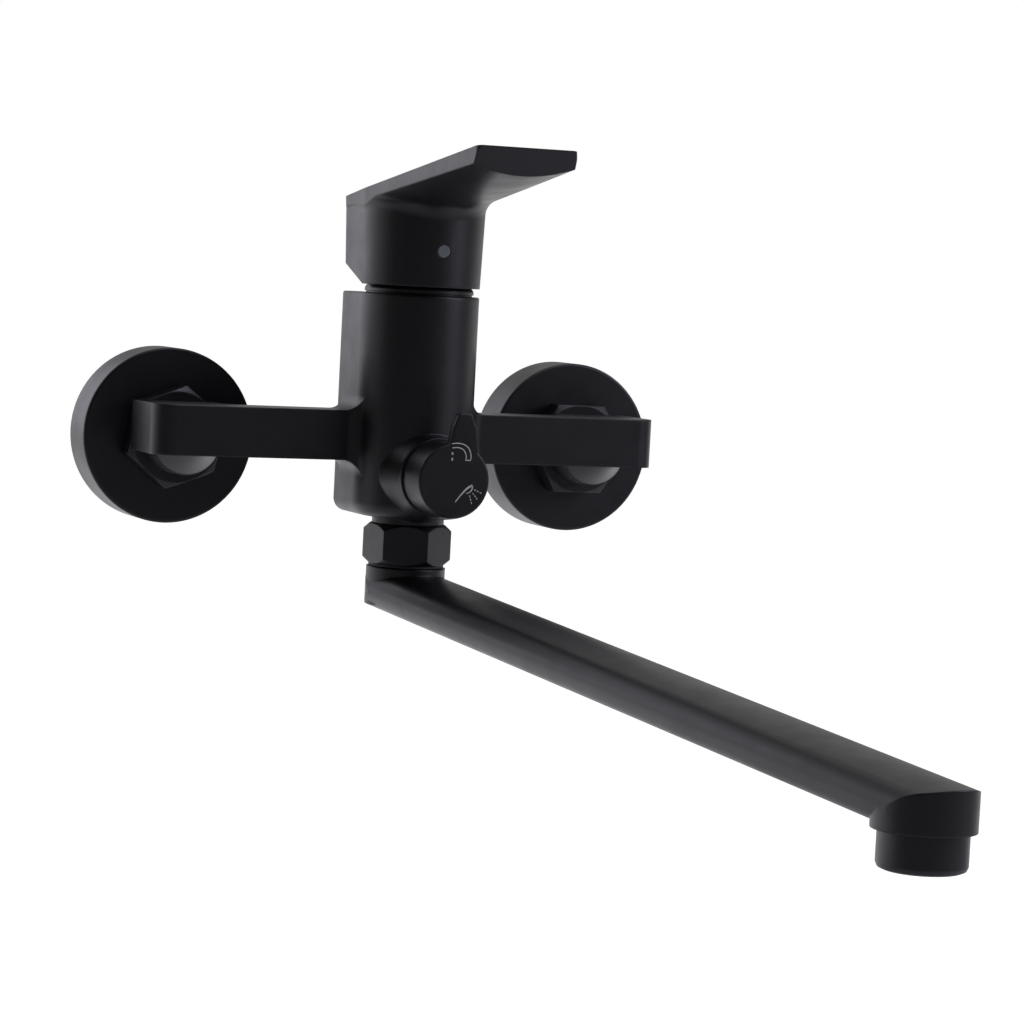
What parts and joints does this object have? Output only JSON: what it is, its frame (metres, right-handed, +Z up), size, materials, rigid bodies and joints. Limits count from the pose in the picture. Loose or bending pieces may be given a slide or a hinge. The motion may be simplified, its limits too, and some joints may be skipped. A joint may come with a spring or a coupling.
{
  "type": "wall mounted bath and shower mixer",
  "caption": "Wall mounted single lever bath mixer with a long swivelling spout, a shower diverter knob and round wall covers.",
  "frame": {"origin": "on the finished wall, midway between the two supply outlets, at the axis height of the wall threads", "axes": "+Z up, +X right along the wall as seen from the room, +Y into the wall; the bath is towards -Y"},
  "size_m": [0.21, 0.3764, 0.1917],
  "materials": {
    "black_finish": "satin black coating on brass",
    "bare_brass": "machined",
    "seal_rubber": "matte",
    "cartridge_plastic": "moulded",
    "guide_plastic": "moulded",
    "aerator_plastic": "moulded",
    "grey_plug": "moulded",
    "disc_ceramic": null,
    "plain_steel": "bright"
  },
  "bodies": {
    "mixer": {"cartridge_base": "cartridge_plastic", "cartridge_base_seals": "seal_rubber", "cartridge_clamp_nut": "bare_brass", "cartridge_housing": "cartridge_plastic", "disc_port_seals": "seal_rubber", "diverter_face_seal": "seal_rubber", "diverter_fixed_disc": "disc_ceramic", "diverter_sleeve": "bare_brass", "dome_cap": "black_finish", "eccentric_union_left": "bare_brass", "eccentric_union_right": "bare_brass", "fixed_ceramic_disc": "disc_ceramic", "inlet_gasket_left": "seal_rubber", "inlet_gasket_right": "seal_rubber", "inlet_tail_left": "bare_brass", "inlet_tail_right": "bare_brass", "mixer_body": "black_finish", "shower_nipple": "black_finish", "shower_nipple_seal": "seal_rubber", "spout_glide_ring": "seal_rubber", "spout_nut": "black_finish", "union_nut_left": "black_finish", "union_nut_right": "black_finish", "wall_cover_left": "black_finish", "wall_cover_right": "black_finish"},
    "temperature_rotor": {"spindle_guide": "guide_plastic", "pivot_pin": "plain_steel"},
    "lever": {"lever_handle": "black_finish", "lever_stem": "plain_steel", "handle_grub_screw": "plain_steel", "handle_index_plug": "grey_plug"},
    "control_disc": {"disc_carrier": "guide_plastic", "moving_ceramic_disc": "disc_ceramic"},
    "diverter": {"diverter_rotating_disc": "disc_ceramic", "diverter_spindle": "bare_brass", "diverter_o_ring": "seal_rubber", "diverter_knob": "black_finish", "diverter_grub_screw": "plain_steel"},
    "spout": {"spout_tube": "black_finish", "spout_o_rings": "seal_rubber", "spout_retaining_ring": "guide_plastic", "aerator_housing": "black_finish", "aerator_insert": "aerator_plastic", "aerator_washer": "seal_rubber"}
  },
  "joints": [
    {"name": "temperature_swing", "type": "hinge", "parent": "mixer", "child": "temperature_rotor", "pos_m": [0, -0.0527, 0.055], "axis": [0, 0, 1], "range_deg": [-45, 45]},
    {"name": "lever_tilt", "type": "hinge", "parent": "temperature_rotor", "child": "lever", "pos_m": [0, -0.0527, 0.055], "axis": [-1, 0, 0], "range_deg": [0, 25]},
    {"name": "disc_slide", "type": "slide", "parent": "temperature_rotor", "child": "control_disc", "axis": [0, -1, 0], "range_m": [0, 0.0031]},
    {"name": "diverter_turn", "type": "hinge", "parent": "mixer", "child": "diverter", "pos_m": [0, -0.0786, 0], "axis": [0, 1, 0], "range_deg": [0, 90]},
    {"name": "spout_swivel", "type": "hinge", "parent": "mixer", "child": "spout", "pos_m": [0, -0.0527, -0.04], "axis": [0, 0, 1], "range_deg": [-97, 83]}
  ],
  "couplings": [
    {"joint": "disc_slide", "follows": "lever_tilt", "m_per_rad": 0.00678}
  ]
}
